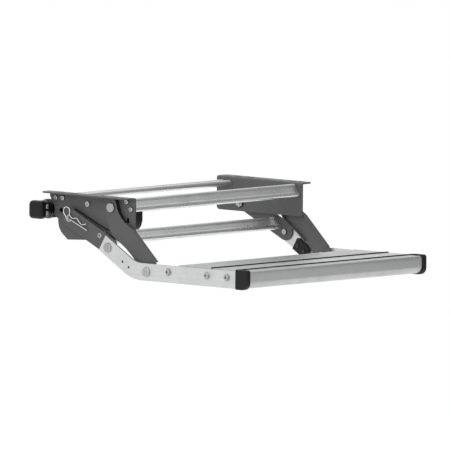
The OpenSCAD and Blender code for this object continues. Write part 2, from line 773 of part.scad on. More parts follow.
// The ear that carries the mounting screw above the housing's top
module housing_ear() {
    at(housing_screw) circle(r = boss_r);
    translate([housing_screw[0] - boss_r, housing_top - housing_wall / 2])
        square([2 * boss_r, housing_screw[1] - housing_top + housing_wall / 2]);
}
module housing_screw_bore() {
    rod(housing_x1 - boss_l - 1, plate_x0, member_screw_d / 2 + run_clear, housing_screw);
}
module drive_housing() {
    color(black) left_side() difference() {
        slab(housing_x0, lid_x0 - seat_gap) housing_shape(0);
        slab(housing_x0 + housing_wall, housing_x1) housing_shape(housing_wall);
        rod(housing_x0 - 1, housing_x0 + housing_wall + 1, gland_r + run_clear, gland_at);
        housing_screw_bore();
    }
    color(black) left_side() difference() {
        slab(housing_x1 - boss_l, lid_x0 - seat_gap) housing_ear();
        housing_screw_bore();
    }
}
// The lid closes the housing; its boss reaches the plate, and the hub and the gearhead pass through it
module drive_housing_lid() {
    color(black) left_side() difference() {
        union() {
            slab(lid_x0, housing_x1) {
                housing_shape(0);
                housing_ear();
            }
            rod(lid_x0, plate_x0 - seat_gap, boss_r, housing_screw);
        }
        rod(lid_x0 - 1, housing_x1 + 1, hub_d / 2 + 1, rear_pivot);
        rod(lid_x0 - 1, housing_x1 + 1, gearhead_r + 0.2, motor_axis);
        housing_screw_bore();
    }
}
module housing_mount_screw() {
    color(zinc) left_side()
        socket_screw(plate_x1 + seat_gap, member_head_d / 2 + 0.5, member_head_h, member_screw_d / 2,
                     mount_screw_l, housing_screw, 2.6);
}
gland_r = 6;
gland_at = [motor_y - 52, housing_top - 16];
module cable_gland() {
    color(black) left_side() difference() {
        union() {
            rod(housing_x0 - 9, housing_x0 - seat_gap, gland_r + 3, gland_at);
            rod(housing_x0 - 1, housing_x0 + housing_wall + 2, gland_r, gland_at);
        }
        rod(housing_x0 - 10, housing_x0 + housing_wall + 3, 3, gland_at);
    }
}
flange_x = housing_x1 + 0.3;
module motor_flange() {
    color(black) left_side() rod(flange_x, flange_x + 5, motor_can_d / 2 + 2, motor_axis);
}
motor_x1 = plate_x1 + motor_out;
motor_cap_l = 21;
module motor_can() {
    color(black) left_side() difference() {
        rod(flange_x + 5 + seat_gap, motor_x1 - motor_cap_l - seat_gap, motor_can_d / 2, motor_axis);
        rod(flange_x + 10, motor_x1 - motor_cap_l, motor_can_d / 2 - 2, motor_axis);
    }
}
band_t = 1.2;
module motor_band() {
    color(zinc) left_side() difference() {
        rod(flange_x + 6, flange_x + 11, motor_can_d / 2 + run_clear + band_t, motor_axis);
        rod(flange_x + 5, flange_x + 12, motor_can_d / 2 + run_clear, motor_axis);
    }
}
// A square with round corners, centred on a point
module rounded_square(p, w, r) {
    at(p) {
        square([w, w - 2 * r], center = true);
        square([w - 2 * r, w], center = true);
        for (y = [-1, 1], z = [-1, 1]) translate([y * (w / 2 - r), z * (w / 2 - r)]) circle(r = r);
    }
}
// The outer cap: its outer end steps in twice to a rounded edge
module motor_end_cap() {
    steps = [[0, 0], [2.5, 0.8], [4, 2.4]];
    color(black) left_side() for (q = steps)
        slab(motor_x1 - motor_cap_l, motor_x1 - 4 + q[0])
            rounded_square(motor_axis, motor_cap_w - 2 * q[1], motor_cap_r - q[1]);
}
module motor_gearhead() {
    color(zinc) left_side() {
        rod(crank_x1 + 4, flange_x - seat_gap, gearhead_r, motor_axis);
    }
}
// The crank and the lever have the same radius and angle, so the link stays parallel to itself
module crank_arm(o) {
    slab(crank_x1 - crank_t, crank_x1) {
        at(o) circle(r = output_r + 3);
        bar_shape(o, crank_pin(o), eye_r);
    }
    rod(link_x1 - link_t - 1, crank_x1 - 1, crank_pin_r, crank_pin(o));
}
module drive_crank() {
    color(zinc) left_side() {
        crank_arm(motor_axis);
        rod(crank_x1 - 1, crank_x1 + 4 - seat_gap, output_r, motor_axis);
    }
}
// Two eyes joined by a narrower bar
module link_shape(p, q) {
    d = q - p;
    half = eye_r - 1.2;
    at(p) circle(r = eye_r);
    at(q) circle(r = eye_r);
    at(p) rotate(atan2(d[1], d[0])) translate([0, -half]) square([norm(d), 2 * half]);
}
module drive_link() {
    color(zinc) left_side() difference() {
        slab(link_x1 - link_t, link_x1) link_shape(crank_pin(motor_axis), crank_pin(rear_pivot));
        for (o = [motor_axis, rear_pivot])
            rod(link_x1 - link_t - 1, link_x1 + 1, crank_pin_r + run_clear, crank_pin(o));
    }
}
module drive_hub() {
    color(zinc) left_side() difference() {
        rod(crank_x1 + seat_gap, rear_arm_x1 + 1.5, hub_d / 2, rear_pivot);
        rod(crank_x1 - 1, rear_arm_x1 + 3, release_d / 2 + run_clear, rear_pivot);
    }
}
module drive_lever() {
    color(zinc) left_side() crank_arm(rear_pivot);
}
clip_x = rear_arm_x1 + 1.5 + clip_wire / 2 + 0.4;
pin_x1 = clip_x + clip_wire / 2 + 2.2;
clip_drop = 22.2;
module release_pin() {
    color(zinc) left_side() difference() {
        rod(crank_x1 + seat_gap, pin_x1, release_d / 2, rear_pivot);
        translate([clip_x, rear_pivot[0], rear_pivot[1]]) rotate([90 + clip_drop, 0, 0])
            cylinder(h = release_d + 2, r = clip_wire / 2 + 0.3, center = true);
    }
}

// Retaining clip: one wire, straight leg through the pin, ring, then the waved leg
// Points are [along the leg, above the leg]
wave = [[0.6, 8.6], [3.8, 6.4], [9, 4.9], [14.5, 6.2], [19.5, 10.6], [24.5, 10.2], [30, 6.6], [38.3, 4.2],
        [45, 7], [51, 12.2]];
ring_at = [-clip_ring_r - 0.3, clip_ring_r + 2.8];
clip_path = concat(
    [[clip_leg, 0], [clip_leg * 0.6, 0], [clip_leg * 0.3, 0], [6, 0], [-5.6, 0], [-8.2, 0.8]],
    [for (a = [-100 : -20 : -340]) ring_at + clip_ring_r * [cos(a), sin(a)]],
    wave);
clip_sides = 10;
function clip_to_space(q) = let (p = on_arm(rear_pivot, clip_drop, q[0], -q[1])) [clip_x, p[0], p[1]];
// Rings of points square to the wire, all in the plane of the clip
function clip_ring(i) = let (
    n = len(clip_path),
    a = clip_to_space(clip_path[max(i - 1, 0)]),
    b = clip_to_space(clip_path[min(i + 1, n - 1)]),
    t = (b - a) / norm(b - a),
    side = [0, -t[2], t[1]],
    c = clip_to_space(clip_path[i]))
    [for (k = [0 : clip_sides - 1])
        c + clip_wire / 2 * (cos(k * 360 / clip_sides) * [1, 0, 0] + sin(k * 360 / clip_sides) * side)];
module retaining_clip() {
    n = len(clip_path);
    m = clip_sides;
    points = [for (i = [0 : n - 1]) each clip_ring(i)];
    walls = [for (i = [0 : n - 2]) for (k = [0 : m - 1])
                [i * m + k, i * m + (k + 1) % m, (i + 1) * m + (k + 1) % m, (i + 1) * m + k]];
    color(zinc) left_side()
        polyhedron(points, concat(walls, [[for (k = [m - 1 : -1 : 0]) k]],
                                  [[for (k = [0 : m - 1]) (n - 1) * m + k]]));
}

side_plate_left();
side_plate_right();
rear_cross_member();
front_cross_member();
rear_member_screws();
front_member_screws();
front_pivot_pins();
front_pivot_nuts();
front_pivot_bushes();
rear_pivot_bushes();
drive_housing();
drive_housing_lid();
housing_mount_screw();
motor_flange();
motor_can();
motor_band();
motor_end_cap();
motor_gearhead();
cable_gland();
drive_crank();
drive_link();
front_arm_left();
front_arm_right();
rear_arm_left();
rear_arm_right();
tie_member();
tie_member_screws();
drive_hub();
drive_lever();
rear_pivot_bolt();
rear_pivot_nut();
rear_arm_inserts();
release_pin();
retaining_clip();
rail_left();
rail_right();
tread_rear_plank();
tread_middle_plank();
tread_nose();
end_cap_left();
end_cap_right();
tread_screws();
stop_blocks();
stop_block_screws();
step_pivot_bolts();
step_pivot_nuts();
step_pivot_spacers();
rail_tail_bolts();
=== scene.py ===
"""Caravan pull-out step: finishes and fine detail for every piece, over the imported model."""

import json
import math

import bmesh
import bpy
from bpy.props import FloatProperty, FloatVectorProperty, PointerProperty
from mathutils import Matrix, Quaternion, Vector


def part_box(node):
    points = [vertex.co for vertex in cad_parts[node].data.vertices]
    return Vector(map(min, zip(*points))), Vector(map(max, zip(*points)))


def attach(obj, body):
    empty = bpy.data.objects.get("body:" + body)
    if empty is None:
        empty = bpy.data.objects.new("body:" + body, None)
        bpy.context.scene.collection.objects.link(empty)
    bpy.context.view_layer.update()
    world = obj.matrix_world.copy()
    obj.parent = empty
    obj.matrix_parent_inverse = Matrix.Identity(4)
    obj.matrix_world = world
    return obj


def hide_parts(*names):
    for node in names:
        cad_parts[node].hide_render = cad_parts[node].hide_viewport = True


bl_info = {
    "name": "Caravan pull-out step",
    "version": (1, 0, 0),
    "blender": (4, 5, 0),
    "location": "3D View > Sidebar > Step",
    "description": "Builds the finishes and fine detail of a motor-driven caravan step",
    "category": "Object",
}

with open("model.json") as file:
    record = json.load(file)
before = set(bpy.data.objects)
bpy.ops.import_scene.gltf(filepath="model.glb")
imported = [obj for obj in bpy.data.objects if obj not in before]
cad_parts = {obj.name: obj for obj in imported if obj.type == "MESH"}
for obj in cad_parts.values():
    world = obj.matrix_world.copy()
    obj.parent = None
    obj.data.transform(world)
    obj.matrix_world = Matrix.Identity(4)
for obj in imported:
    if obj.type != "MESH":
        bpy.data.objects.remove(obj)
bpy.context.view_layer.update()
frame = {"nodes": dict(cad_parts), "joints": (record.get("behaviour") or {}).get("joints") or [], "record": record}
BODY_OF = {n: b for b, nodes in frame["record"]["behaviour"]["bodies"].items() for n in nodes}
SLOT_OF = {s["node"]: s["material_slot"] for s in frame["record"]["subparts"]}
JOINT_AT = {j["name"]: Vector(j["pos_m"]) for j in frame["joints"]}
QUARTER_TURN = math.pi / 2
MM_PER_M = 1000


# Sizes and colours that a user would change
class StepSizes(bpy.types.PropertyGroup):
    sheet_edge: FloatProperty(name="Sheet edge", description="Rounding on the edges of the painted sheet",
                              default=0.0004, min=0.0, max=0.001, unit="LENGTH")
    profile_edge: FloatProperty(name="Profile edge", description="Rounding on the edges of the extrusions",
                                default=0.0003, min=0.0, max=0.001, unit="LENGTH")
    rail_edge: FloatProperty(name="Rail edge", description="Rounding on the edges of the step's rails",
                             default=0.0018, min=0.0, max=0.002, unit="LENGTH")
    screw_edge: FloatProperty(name="Screw edge", description="Rounding on the edges of screws, nuts and pins",
                              default=0.00025, min=0.0, max=0.0006, unit="LENGTH")
    moulded_edge: FloatProperty(name="Moulded edge", description="Rounding on the edges of moulded plastic",
                                default=0.0007, min=0.0, max=0.0015, unit="LENGTH")
    wire: FloatProperty(name="Clip wire", description="Diameter of the retaining clip's wire",
                        default=0.0026, min=0.002, max=0.003, unit="LENGTH")
    bead: FloatProperty(name="Groove bead", description="Width of the rubber beads in the tread's grooves",
                        default=0.0044, min=0.003, max=0.005, unit="LENGTH")
    bead_rise: FloatProperty(name="Bead height", description="How far the beads stand above the planks",
                             default=0.0021, min=0.0005, max=0.0025, unit="LENGTH")
    # The strip is painted shadow: a flat black sheet along the rear arm's upper edge, where the gap lies in shade.
    strip: FloatProperty(name="Strip width", description="Width of the flat black strip on the left plate",
                         default=0.0034, min=0.001, max=0.004, unit="LENGTH")
    motor_edge: FloatProperty(name="Motor cap edge", description="Rounding on the outer end of the motor cap",
                              default=0.007, min=0.002, max=0.008, unit="LENGTH")
    cap_edge: FloatProperty(name="Cap edge", description="Rounding on the edges of the tread's end caps",
                            default=0.0016, min=0.0, max=0.0022, unit="LENGTH")


class StepColours(bpy.types.PropertyGroup):
    paint: FloatVectorProperty(name="Sheet paint", description="Dark grey paint of plates and arms",
                               subtype="COLOR", default=(0.082, 0.082, 0.084), min=0, max=1)
    anodised: FloatVectorProperty(name="Aluminium", description="Natural anodised aluminium",
                                  subtype="COLOR", default=(0.66, 0.665, 0.67), min=0, max=1)
    zinc: FloatVectorProperty(name="Zinc", description="Zinc-plated steel of screws and pins",
                              subtype="COLOR", default=(0.43, 0.43, 0.425), min=0, max=1)
    spring_steel: FloatVectorProperty(name="Wire", description="Polished wire of the retaining clip",
                                      subtype="COLOR", default=(0.62, 0.62, 0.61), min=0, max=1)
    moulding: FloatVectorProperty(name="Black moulding", description="Black plastic of caps and housing",
                                  subtype="COLOR", default=(0.008, 0.008, 0.0085), min=0, max=1)
    motor: FloatVectorProperty(name="Motor black", description="Black enamel of the motor",
                               subtype="COLOR", default=(0.010, 0.010, 0.0105), min=0, max=1)
    # Also the colour of the painted shadows on the left plate and on the front arms' flanges
    rubber: FloatVectorProperty(name="Rubber", description="Stop blocks, beads, strip and edging",
                                subtype="COLOR", default=(0.010, 0.010, 0.010), min=0, max=1)


def sizes():
    return bpy.context.scene.step_sizes


def colours():
    return bpy.context.scene.step_colours


# Shader node groups that several finishes share
def shader_group(name, inputs, outputs):
    """A group with its named sockets, its tree, and its input and output nodes."""
    tree = bpy.data.node_groups.new(name, "ShaderNodeTree")
    for label, kind in inputs:
        tree.interface.new_socket(name=label, in_out="INPUT", socket_type=kind)
    for label, kind in outputs:
        tree.interface.new_socket(name=label, in_out="OUTPUT", socket_type=kind)
    return tree, tree.nodes.new("NodeGroupInput"), tree.nodes.new("NodeGroupOutput")


def noise(tree, vector, detail, roughness, scale=1.0):
    node = tree.nodes.new("ShaderNodeTexNoise")
    for label, value in (("Scale", scale), ("Detail", detail), ("Roughness", roughness)):
        node.inputs[label].default_value = value
    tree.links.new(vector, node.inputs["Vector"])
    return node


def mapped(tree, vector, setting, value):
    """The vector scaled or rotated by the value."""
    node = tree.nodes.new("ShaderNodeMapping")
    node.inputs[setting].default_value = value
    tree.links.new(vector, node.inputs["Vector"])
    return node.outputs["Vector"]


def combined(tree, operation, first, second):
    node = tree.nodes.new("ShaderNodeMath")
    node.operation = operation
    tree.links.new(first, node.inputs[0])
    tree.links.new(second, node.inputs[1])
    return node.outputs["Value"]


def ramp(tree, source, low, high, to_low=0.0, to_high=1.0):
    """Maps a value from one range to another, clamped."""
    node = tree.nodes.new("ShaderNodeMapRange")
    for label, value in (("From Min", low), ("From Max", high), ("To Min", to_low), ("To Max", to_high)):
        node.inputs[label].default_value = value
    tree.links.new(source, node.inputs["Value"])
    return node.outputs["Result"]


def grain_group():
    """Fine pebbled surface of paint and moulded plastic, with a slow drift of tone."""
    tree, gin, gout = shader_group(
        "surface_grain",
        [("Vector", "NodeSocketVector"), ("Grain Size", "NodeSocketFloat")],
        [("Height", "NodeSocketFloat"), ("Tone", "NodeSocketFloat")])
    place = gin.outputs["Vector"]
    fine = noise(tree, place, detail=2, roughness=0.6)
    tree.links.new(gin.outputs["Grain Size"], fine.inputs["Scale"])
    slow = noise(tree, place, detail=3, roughness=0.5, scale=14)
    tree.links.new(fine.outputs["Fac"], gout.inputs["Height"])
    tree.links.new(ramp(tree, slow.outputs["Fac"], 0.35, 0.65), gout.inputs["Tone"])
    return tree


def drawn_group():
    """Long fine lines left by the die or the rolls, along the local X of the given vector."""
    tree, gin, gout = shader_group(
        "drawn_lines",
        [("Vector", "NodeSocketVector")],
        [("Height", "NodeSocketFloat"), ("Tone", "NodeSocketFloat"), ("Smudge", "NodeSocketFloat")])
    place = gin.outputs["Vector"]
    fine_scale, broad_scale = (6, 700, 700), (2, 160, 160)
    lines = noise(tree, mapped(tree, place, "Scale", fine_scale), detail=3, roughness=0.6)
    bands = noise(tree, mapped(tree, place, "Scale", broad_scale), detail=2, roughness=0.5)
    smudge = noise(tree, place, detail=4, roughness=0.6, scale=22)
    tree.links.new(lines.outputs["Fac"], gout.inputs["Height"])
    tree.links.new(ramp(tree, bands.outputs["Fac"], 0.3, 0.7), gout.inputs["Tone"])
    tree.links.new(ramp(tree, smudge.outputs["Fac"], 0.4, 0.7), gout.inputs["Smudge"])
    return tree


def worn_group():
    """Mask of the rubbed edges, broken up by noise."""
    tree, gin, gout = shader_group(
        "rubbed_edges",
        [("Vector", "NodeSocketVector"), ("Width", "NodeSocketFloat")],
        [("Mask", "NodeSocketFloat")])
    rounded = tree.nodes.new("ShaderNodeBevel")
    rounded.samples = 4
    tree.links.new(gin.outputs["Width"], rounded.inputs["Radius"])
    shape = tree.nodes.new("ShaderNodeNewGeometry")
    dot = tree.nodes.new("ShaderNodeVectorMath")
    dot.operation = "DOT_PRODUCT"
    tree.links.new(rounded.outputs["Normal"], dot.inputs[0])
    tree.links.new(shape.outputs["Normal"], dot.inputs[1])
    edge = ramp(tree, dot.outputs["Value"], 0.995, 0.9)
    patches = noise(tree, gin.outputs["Vector"], detail=4, roughness=0.7, scale=160)
    mask = combined(tree, "MULTIPLY", edge, ramp(tree, patches.outputs["Fac"], 0.45, 0.62))
    tree.links.new(mask, gout.inputs["Mask"])
    return tree


class Finish:
    """One material and the few moves that all the finishes make."""

    def __init__(self, name, groups, metallic, specular=0.5):
        self.groups = groups
        self.material = bpy.data.materials.new(name)
        self.material.use_nodes = True
        self.tree = self.material.node_tree
        self.shader = self.tree.nodes["Principled BSDF"]
        self.shader.inputs["Metallic"].default_value = metallic
        self.shader.inputs["Specular IOR Level"].default_value = specular
        self.place = self.tree.nodes.new("ShaderNodeTexCoord").outputs["Object"]

    def group(self, name, vector=None, **values):
        node = self.tree.nodes.new("ShaderNodeGroup")
        node.node_tree = self.groups[name]
        self.tree.links.new(vector or self.place, node.inputs["Vector"])
        for label, value in values.items():
            node.inputs[label.replace("_", " ")].default_value = value
        return node.outputs

    def turned(self, angle):
        """Object coordinates turned about Z, so that drawn lines run along a piece."""
        return mapped(self.tree, self.place, "Rotation", (0, 0, angle))

    def mix(self, mask, low, high):
        """A colour between two, by a mask."""
        node = self.tree.nodes.new("ShaderNodeMix")
        node.data_type = "RGBA"
        node.inputs["A"].default_value = (*low, 1)
        node.inputs["B"].default_value = (*high, 1)
        self.tree.links.new(mask, node.inputs["Factor"])
        return node

    def colour(self, mask, low, high, over, over_mask):
        """Drifts between two tones, under a third where its own mask says so."""
        tones = self.mix(mask, low, high)
        top = self.mix(over_mask, low, over)
        self.tree.links.new(tones.outputs["Result"], top.inputs["A"])
        self.tree.links.new(top.outputs["Result"], self.shader.inputs["Base Color"])

    def roughness(self, mask, low, high):
        self.tree.links.new(ramp(self.tree, mask, 0, 1, low, high), self.shader.inputs["Roughness"])

    def bump(self, height, strength, distance):
        node = self.tree.nodes.new("ShaderNodeBump")
        node.inputs["Strength"].default_value = strength
        node.inputs["Distance"].default_value = distance
        self.tree.links.new(height, node.inputs["Height"])
        self.tree.links.new(node.outputs["Normal"], self.shader.inputs["Normal"])


def shade(rgb, factor):
    return tuple(min(1.0, c * factor) for c in rgb)


def painted_sheet(groups):
    made = Finish("painted_sheet", groups, 0.0, 0.35)
    grain = made.group("surface_grain", Grain_Size=1400.0)
    rubbed = made.group("rubbed_edges", Width=0.0007)
    base = tuple(colours().paint)
    made.colour(grain["Tone"], shade(base, 0.93), shade(base, 1.07), shade(base, 1.7), rubbed["Mask"])
    made.roughness(grain["Tone"], 0.40, 0.52)
    made.bump(grain["Height"], 0.25, 0.00012)
    return made.material


def anodised(name, groups, angle=0.0, painted_shade_factor=1.0, rough=(0.26, 0.36), metallic=0.9):
    """Aluminium with its drawn lines along X once turned by the angle. A factor below one makes a darker copy:
    painted shade for the darker reflections on the tread, nose and rails.
    """
    made = Finish(name, groups, metallic)
    lines = made.group("drawn_lines", made.turned(angle))
    base = shade(tuple(colours().anodised), painted_shade_factor)
    made.colour(lines["Tone"], shade(base, 0.95), shade(base, 1.04), shade(base, 0.9), lines["Smudge"])
    made.roughness(lines["Smudge"], *rough)
    made.bump(lines["Height"], 0.02, 0.00002)
    return made.material


def plated(name, groups, colour, rough):
    made = Finish(name, groups, 1.0)
    lines = made.group("drawn_lines", made.turned(0.4))
    grain = made.group("surface_grain", Grain_Size=600.0)
    made.colour(grain["Tone"], shade(colour, 0.88), shade(colour, 1.06), shade(colour, 0.8), lines["Smudge"])
    made.roughness(lines["Smudge"], rough, rough + 0.14)
    made.bump(grain["Height"], 0.12, 0.00005)
    return made.material


def moulded(name, groups, colour, rough, grain_size, depth, specular=0.2):
    made = Finish(name, groups, 0.0, specular)
    grain = made.group("surface_grain", Grain_Size=grain_size)
    rubbed = made.group("rubbed_edges", Width=0.0010)
    made.colour(grain["Tone"], shade(colour, 0.85), shade(colour, 1.2), shade(colour, 2.4), rubbed["Mask"])
    made.roughness(grain["Tone"], rough, rough + 0.1)
    made.bump(grain["Height"], 0.35, depth)
    return made.material


# Dark steel: painted shade on the zinc motor band, and the dark tone of the stop block screws
DARK_STEEL_AND_SHADE = (0.06, 0.06, 0.06)
NYLON = (0.030, 0.030, 0.031)
# Darker copies of the same anodised aluminium: the factor is painted shade for the darker reflections on the
# tread, nose and rails
TREAD_SHADED_LOOK = {"painted_shade_factor": 0.76, "rough": (0.34, 0.46), "metallic": 0.75}
RAIL_SHADED_LOOK = {"painted_shade_factor": 0.90, "rough": (0.36, 0.46), "metallic": 0.6}
FINISH = {}


def make_finishes():
    groups = {"surface_grain": grain_group(), "drawn_lines": drawn_group(), "rubbed_edges": worn_group()}
    chosen = colours()
    FINISH.update(
        sheet=painted_sheet(groups),
        profile=anodised("drawn_profile", groups),
        tread=anodised("tread_profile", groups, **TREAD_SHADED_LOOK),
        nose=anodised("nose_profile", groups, **TREAD_SHADED_LOOK),
        rail=anodised("flat_rail", groups, QUARTER_TURN, **RAIL_SHADED_LOOK),
        zinc=plated("zinc_plate", groups, tuple(chosen.zinc), 0.30),
        dark_steel=plated("dark_steel", groups, DARK_STEEL_AND_SHADE, 0.34),
        wire=plated("clip_wire", groups, tuple(chosen.spring_steel), 0.16),
        nylon=moulded("bush_nylon", groups, NYLON, 0.45, 700.0, 0.00006),
        black_plastic=moulded("black_moulding", groups, tuple(chosen.moulding), 0.42, 1100.0, 0.0001),
        motor_black=moulded("motor_enamel", groups, tuple(chosen.motor), 0.30, 500.0, 0.00004),
        # The rubber finish also colours the painted shadows: the strip on the left plate and the black sheets on
        # the front arms' flanges
        rubber=moulded("rubber_and_painted_shadow", groups, tuple(chosen.rubber), 0.70, 800.0, 0.00015, 0.3),
    )


# Dressing a CAD piece: its mesh is merged, its edges are rounded, and the copy stands for the node
WELD_DISTANCE = 2e-6
FLAT_ANGLE = math.radians(0.6)
SHARP_ANGLE = math.radians(40)
ROUND_FROM = 28.0


def merged(node):
    bm = bmesh.new()
    bm.from_mesh(frame["nodes"][node].data)
    bmesh.ops.remove_doubles(bm, verts=bm.verts, dist=WELD_DISTANCE)
    bmesh.ops.dissolve_limit(bm, angle_limit=FLAT_ANGLE, verts=bm.verts, edges=bm.edges)
    return bm


def cuboid(bm, middle, size):
    bmesh.ops.create_cube(bm, size=1.0, matrix=Matrix.LocRotScale(Vector(middle), None, Vector(size)))


def bevelled(bm, edges, width, segments):
    bmesh.ops.bevel(bm, geom=edges, offset=width, offset_type="OFFSET", affect="EDGES", segments=segments,
                    profile=0.5, clamp_overlap=True, material=-1)


def round_edges(bm, width, from_angle=ROUND_FROM, segments=2):
    """Bevels the edges whose faces meet at more than from_angle degrees."""
    limit = math.radians(from_angle)
    sharp = [e for e in bm.edges if len(e.link_faces) == 2 and e.calc_face_angle(0.0) > limit]
    if width > 0 and sharp:
        bevelled(bm, sharp, width, segments)
    return bm


def piece(name, bm, body, finish, nodes=()):
    """A finished piece in its place, with smooth shading that keeps its sharp edges."""
    mesh = bpy.data.meshes.new(name)
    for face in bm.faces:
        face.smooth = True
    for edge in bm.edges:
        edge.smooth = not (len(edge.link_faces) == 2 and edge.calc_face_angle(0.0) > SHARP_ANGLE)
    bm.to_mesh(mesh)
    bm.free()
    if not mesh.polygons:
        raise RuntimeError(f"{name} came out empty")
    obj = bpy.data.objects.new(name, mesh)
    bpy.context.scene.collection.objects.link(obj)
    even = obj.modifiers.new("even_normals", "WEIGHTED_NORMAL")
    even.keep_sharp = True
    mesh.materials.append(FINISH[finish])
    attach(obj, body)
    if nodes:
        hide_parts(*nodes)


def dressed(node, width, finish=None, segments=2, from_angle=ROUND_FROM, slices=1):
    """The node's own shape with rounded edges, its long faces cut into slices along X."""
    bm = round_edges(merged(node), width, from_angle, segments)
    low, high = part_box(node)
    for i in range(1, slices):
        bmesh.ops.bisect_plane(bm, geom=bm.verts[:] + bm.edges[:] + bm.faces[:], dist=1e-6,
                               plane_co=(low.x + (high.x - low.x) * i / slices, 0, 0), plane_no=(1, 0, 0))
    piece(node + "_finished", bm, BODY_OF[node], finish or SLOT_OF[node], [node])


class STEP_OT_plates(bpy.types.Operator):
    """Side plates: bent sheet with painted, slightly rubbed edges"""
    bl_idname = "step.plates"
    bl_label = "Side plates"

    def execute(self, context):
        for node in ("side_plate_left", "side_plate_right"):
            dressed(node, sizes().sheet_edge)
        return {"FINISHED"}


class STEP_OT_cross_members(bpy.types.Operator):
    """Front and rear cross members, and the tie member between the rear arms"""
    bl_idname = "step.cross_members"
    bl_label = "Cross members"

    def execute(self, context):
        for node in ("rear_cross_member", "front_cross_member", "tie_member"):
            dressed(node, sizes().profile_edge, "profile", slices=24)
        return {"FINISHED"}


class STEP_OT_arms(bpy.types.Operator):
    """Front and rear arms of both sides"""
    bl_idname = "step.arms"
    bl_label = "Arms"

    def execute(self, context):
        for node in ("front_arm_left", "front_arm_right", "rear_arm_left", "rear_arm_right"):
            dressed(node, sizes().sheet_edge)
        return {"FINISHED"}


class STEP_OT_fasteners(bpy.types.Operator):
    """Screws, pins, nuts and inserts"""
    bl_idname = "step.fasteners"
    bl_label = "Fasteners"

    def execute(self, context):
        for node in ("rear_member_screws", "front_member_screws", "front_pivot_pins", "front_pivot_nuts",
                     "housing_mount_screw", "tie_member_screws", "rear_pivot_bolt", "rear_pivot_nut",
                     "rear_arm_inserts", "tread_screws", "step_pivot_bolts", "step_pivot_nuts",
                     "rail_tail_bolts"):
            dressed(node, sizes().screw_edge)
        dressed("stop_block_screws", sizes().screw_edge, "dark_steel")
        return {"FINISHED"}


class STEP_OT_bushes(bpy.types.Operator):
    """Bushes and spacers at the pivots"""
    bl_idname = "step.bushes"
    bl_label = "Bushes"

    def execute(self, context):
        for node in ("front_pivot_bushes", "rear_pivot_bushes", "step_pivot_spacers"):
            dressed(node, sizes().screw_edge)
        return {"FINISHED"}


class STEP_OT_drive(bpy.types.Operator):
    """Motor, drive housing, crank, link, lever, hub and release pin"""
    bl_idname = "step.drive"
    bl_label = "Drive"
    # The motor cap: shares of its own size, then the overlap and the clips in metres
    block_share = 0.7
    corner_share = 0.24
    collar_share = 0.47
    overlap = 0.001
    clip_size = (0.0062, 0.0046, 0.0086)
    clip_rise = 0.0068
    clip_edge = 0.0008

    def execute(self, context):
        for node in ("drive_housing", "drive_housing_lid", "cable_gland", "motor_flange", "motor_can"):
            dressed(node, sizes().moulded_edge, segments=3)
        self.motor_cap()
        # The zinc band is drawn in dark steel: painted shade for the dark reflections on the shiny band
        dressed("motor_band", sizes().screw_edge, "dark_steel")
        for node in ("motor_gearhead", "drive_crank", "drive_link", "drive_lever", "drive_hub",
                     "release_pin"):
            dressed(node, sizes().screw_edge)
        return {"FINISHED"}

    def motor_cap(self):
        """A block with round corners and a rounded outer end, a round collar, and four bright clips on it."""
        low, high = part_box("motor_end_cap")
        block_end = low.x + (high.x - low.x) * self.block_share
        middle, size = (low + high) / 2, high - low
        size.x = block_end - low.x
        bm = bmesh.new()
        cuboid(bm, ((low.x + block_end) / 2, middle.y, middle.z), size)
        along = [e for e in bm.edges if abs(e.verts[0].co.x - e.verts[1].co.x) > 1e-4]
        bevelled(bm, along, size.z * self.corner_share, 6)
        for end, width in ((low.x, sizes().motor_edge), (block_end, sizes().moulded_edge)):
            rim = [e for e in bm.edges if all(abs(v.co.x - end) < 1e-6 for v in e.verts)]
            bevelled(bm, rim, width, 5)
        collar_r, collar_x = size.z * self.collar_share, (block_end + high.x) / 2
        spot = Matrix.Translation((collar_x - self.overlap, middle.y, middle.z))
        bmesh.ops.create_cone(bm, cap_ends=True, segments=48, radius1=collar_r, radius2=collar_r,
                              depth=high.x - block_end + 2 * self.overlap,
                              matrix=spot @ Matrix.Rotation(QUARTER_TURN, 4, "Y"))
        piece("motor_end_cap_finished", bm, "frame", SLOT_OF["motor_end_cap"],
              ["motor_end_cap"])
        clips = bmesh.new()
        for side in (-1, 1):
            for rise in (-self.clip_rise, self.clip_rise):
                cuboid(clips, (collar_x, middle.y + side * collar_r, middle.z + rise), self.clip_size)
        piece("motor_cap_clips", round_edges(clips, self.clip_edge), "frame", "rail")


class STEP_OT_rails(bpy.types.Operator):
    """Bent rails of the step and the stop blocks on their inner faces"""
    bl_idname = "step.rails"
    bl_label = "Rails"
    block_edge = 0.002

    def execute(self, context):
        for node in ("rail_left", "rail_right"):
            dressed(node, sizes().rail_edge, "rail", segments=4, from_angle=50)
        dressed("stop_blocks", self.block_edge, segments=4)
        return {"FINISHED"}


class STEP_OT_tread(bpy.types.Operator):
    """Grooved planks, nose section and end caps of the tread"""
    bl_idname = "step.tread"
    bl_label = "Tread"
    # The grooves are narrow, so their edges take only a share of the rounding
    groove_share = 0.6

    def execute(self, context):
        for node, finish in (("tread_rear_plank", "tread"), ("tread_middle_plank", "tread"),
                             ("tread_nose", "nose")):
            dressed(node, sizes().profile_edge * self.groove_share, finish)
        for node in ("end_cap_left", "end_cap_right"):
            dressed(node, sizes().cap_edge, segments=3)
        return {"FINISHED"}


